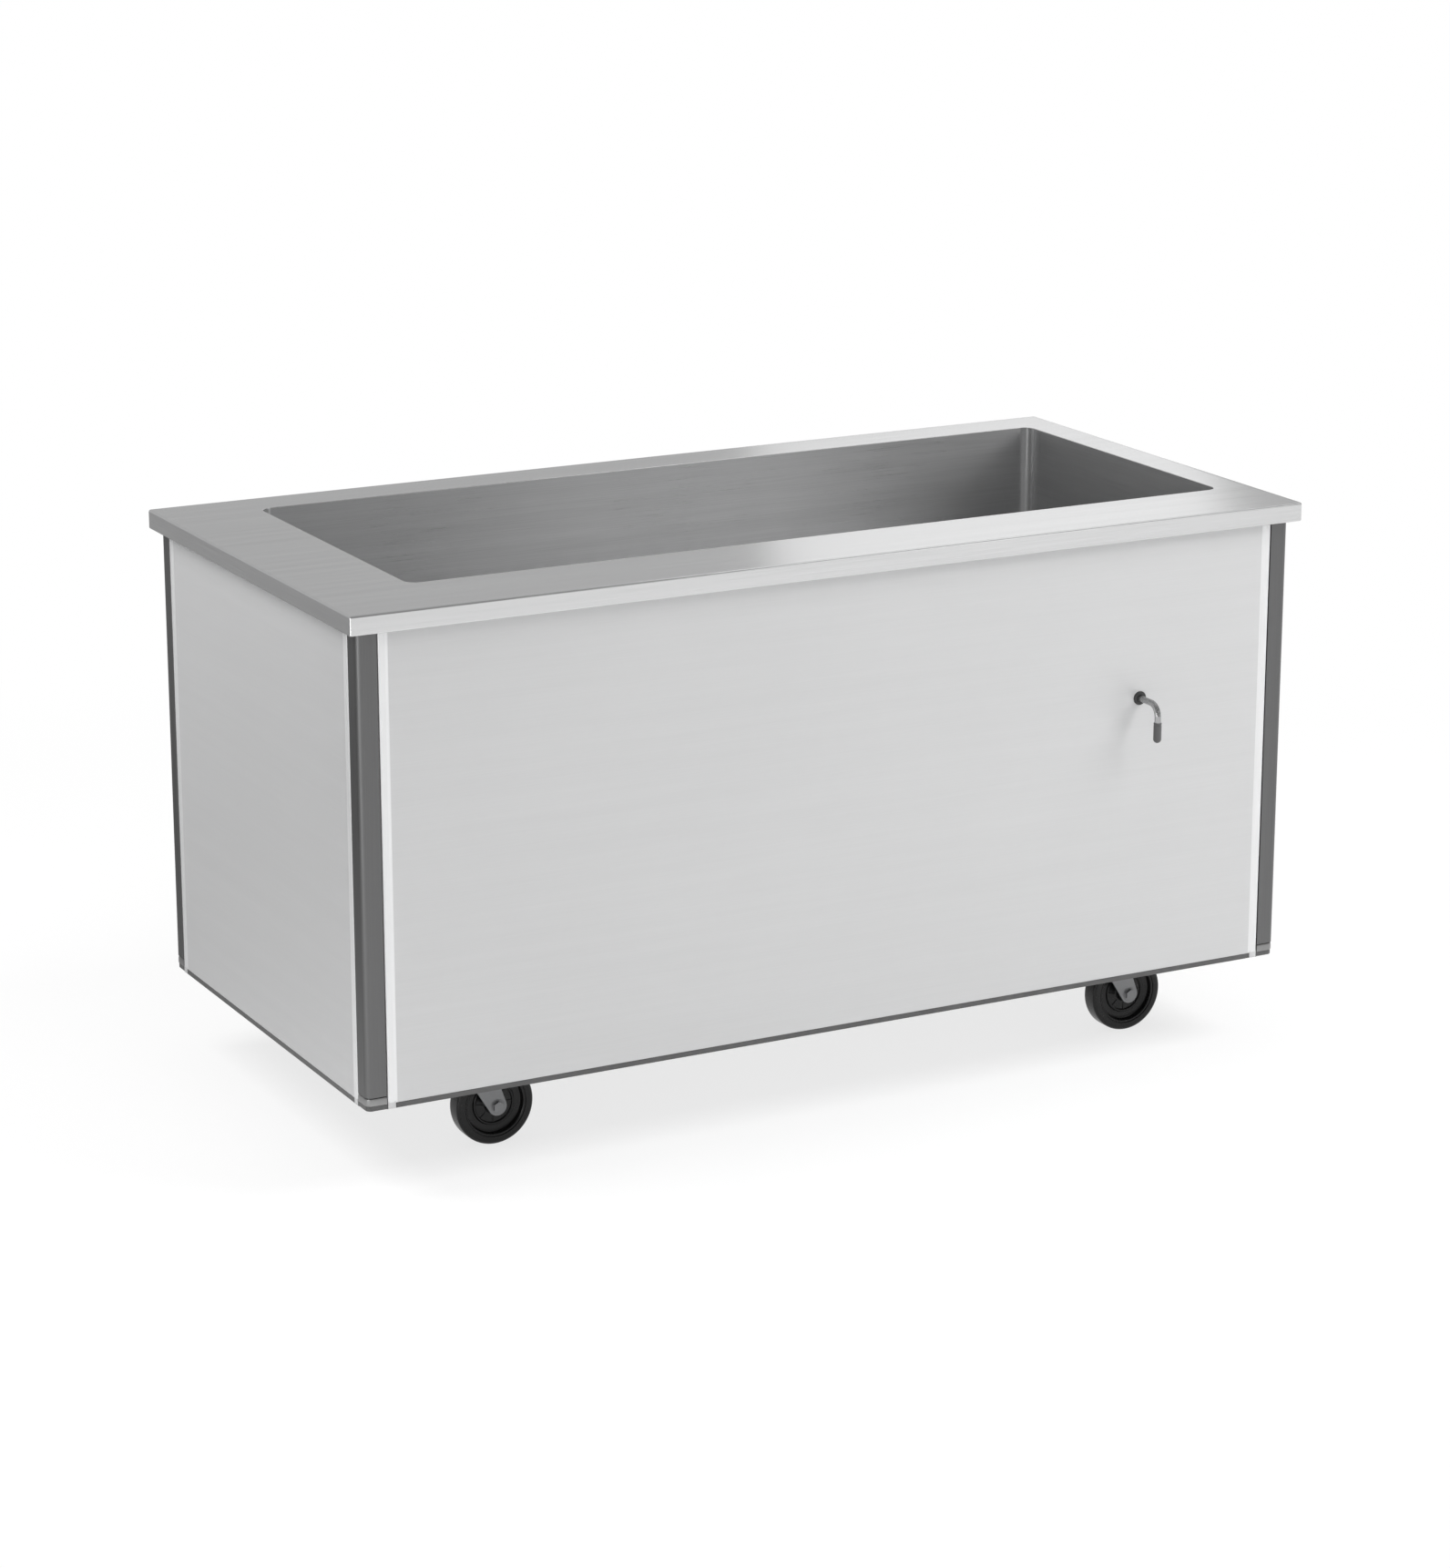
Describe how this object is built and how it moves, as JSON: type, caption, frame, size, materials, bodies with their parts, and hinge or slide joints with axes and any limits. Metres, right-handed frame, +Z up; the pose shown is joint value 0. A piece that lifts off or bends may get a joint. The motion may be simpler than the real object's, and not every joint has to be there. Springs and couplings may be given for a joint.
{
  "type": "ice display buffet table",
  "caption": "Mobile ice-cooled display counter: stainless top with a deep coved ice pan, plain panels between round corner posts, a drain handle at the front and swivel casters.",
  "frame": {"origin": "on the floor, below the middle of the bounding box", "axes": "+X along the counter from the wide deck on the left to the drain side on the right, +Y from the front with the drain handle to the back, +Z up"},
  "size_m": [1.62, 0.841, 0.887],
  "materials": {
    "deck_steel": "satin",
    "liner_steel": "satin",
    "panel_steel": "satin",
    "post_metal": "satin",
    "rail_metal": "satin",
    "galvanised": "matte",
    "foam": "matte",
    "brass": "satin",
    "seat_plastic": "matte",
    "bushing_plastic": "matte",
    "rod_metal": "satin",
    "grip_vinyl": "satin",
    "zinc": "satin",
    "wheel_black": "satin"
  },
  "bodies": {
    "counter": {"top_deck": "deck_steel", "pan_liner": "liner_steel", "pan_insulation": "foam", "pan_jacket": "galvanised", "pan_saddles": "galvanised", "deck_brace": "galvanised", "drain_flange": "liner_steel", "drain_strainer": "liner_steel", "drain_locknut": "brass", "union_nut": "brass", "valve_body": "brass", "valve_seats": "seat_plastic", "packing_nut": "brass", "panel_bushing": "bushing_plastic", "outlet_pipe": "rod_metal", "front_panel": "panel_steel", "back_panel": "panel_steel", "left_panel": "panel_steel", "right_panel": "panel_steel", "corner_post_front_left": "post_metal", "corner_post_front_right": "post_metal", "corner_post_back_left": "post_metal", "corner_post_back_right": "post_metal", "corner_feet": "post_metal", "top_rails": "galvanised", "base_rail_front": "rail_metal", "base_rail_back": "rail_metal", "base_rail_left": "rail_metal", "base_rail_right": "rail_metal", "base_floor": "galvanised", "caster_channel_front": "galvanised", "caster_channel_back": "galvanised", "caster_bolts": "zinc", "caster_plate_front_left": "zinc", "caster_plate_front_right": "zinc", "caster_plate_back_left": "zinc", "caster_plate_back_right": "zinc"},
    "drain_valve": {"valve_ball": "rod_metal", "valve_stem": "rod_metal", "stem_coupling": "rod_metal", "handle_shaft": "rod_metal", "drain_handle": "rod_metal", "handle_grip": "grip_vinyl"},
    "false_bottom_left": {"false_bottom_left": "liner_steel"},
    "false_bottom_middle": {"false_bottom_middle": "liner_steel"},
    "false_bottom_right": {"false_bottom_right": "liner_steel"},
    "caster_front_left": {"caster_fork_front_left": "zinc", "caster_axle_front_left": "zinc"},
    "wheel_front_left": {"caster_wheel_front_left": "wheel_black"},
    "caster_front_right": {"caster_fork_front_right": "zinc", "caster_axle_front_right": "zinc"},
    "wheel_front_right": {"caster_wheel_front_right": "wheel_black"},
    "caster_back_left": {"caster_fork_back_left": "zinc", "caster_axle_back_left": "zinc"},
    "wheel_back_left": {"caster_wheel_back_left": "wheel_black"},
    "caster_back_right": {"caster_fork_back_right": "zinc", "caster_axle_back_right": "zinc"},
    "wheel_back_right": {"caster_wheel_back_right": "wheel_black"},
    "brake_back_left": {"brake_pedal_back_left": "zinc"},
    "brake_back_right": {"brake_pedal_back_right": "zinc"}
  },
  "joints": [
    {"name": "drain_handle_turn", "type": "hinge", "parent": "counter", "child": "drain_valve", "pos_m": [0.525, -0.3625, 0.601], "axis": [0, 1, 0], "range_deg": [0, 90]},
    {"name": "false_bottom_left_lift", "type": "slide", "parent": "counter", "child": "false_bottom_left", "axis": [0, 0, 1], "range_m": [0, 0.25]},
    {"name": "false_bottom_middle_lift", "type": "slide", "parent": "counter", "child": "false_bottom_middle", "axis": [0, 0, 1], "range_m": [0, 0.25]},
    {"name": "false_bottom_right_lift", "type": "slide", "parent": "counter", "child": "false_bottom_right", "axis": [0, 0, 1], "range_m": [0, 0.25]},
    {"name": "caster_front_left_swivel", "type": "hinge", "parent": "counter", "child": "caster_front_left", "pos_m": [-0.566, -0.2125, 0.14], "axis": [0, 0, 1], "continuous": true},
    {"name": "wheel_front_left_spin", "type": "hinge", "parent": "caster_front_left", "child": "wheel_front_left", "pos_m": [-0.528, -0.2125, 0.0635], "axis": [0, 1, 0], "continuous": true},
    {"name": "caster_front_right_swivel", "type": "hinge", "parent": "counter", "child": "caster_front_right", "pos_m": [0.566, -0.2125, 0.14], "axis": [0, 0, 1], "continuous": true},
    {"name": "wheel_front_right_spin", "type": "hinge", "parent": "caster_front_right", "child": "wheel_front_right", "pos_m": [0.604, -0.2125, 0.0635], "axis": [0, 1, 0], "continuous": true},
    {"name": "caster_back_left_swivel", "type": "hinge", "parent": "counter", "child": "caster_back_left", "pos_m": [-0.566, 0.2555, 0.14], "axis": [0, 0, 1], "continuous": true},
    {"name": "wheel_back_left_spin", "type": "hinge", "parent": "caster_back_left", "child": "wheel_back_left", "pos_m": [-0.528, 0.2555, 0.0635], "axis": [0, 1, 0], "continuous": true},
    {"name": "caster_back_right_swivel", "type": "hinge", "parent": "counter", "child": "caster_back_right", "pos_m": [0.566, 0.2555, 0.14], "axis": [0, 0, 1], "continuous": true},
    {"name": "wheel_back_right_spin", "type": "hinge", "parent": "caster_back_right", "child": "wheel_back_right", "pos_m": [0.604, 0.2555, 0.0635], "axis": [0, 1, 0], "continuous": true},
    {"name": "brake_back_left_press", "type": "hinge", "parent": "caster_back_left", "child": "brake_back_left", "pos_m": [-0.4795, 0.2555, 0.1185], "axis": [0, 1, 0], "range_deg": [0, 18]},
    {"name": "brake_back_right_press", "type": "hinge", "parent": "caster_back_right", "child": "brake_back_right", "pos_m": [0.6525, 0.2555, 0.1185], "axis": [0, 1, 0], "range_deg": [0, 18]}
  ]
}
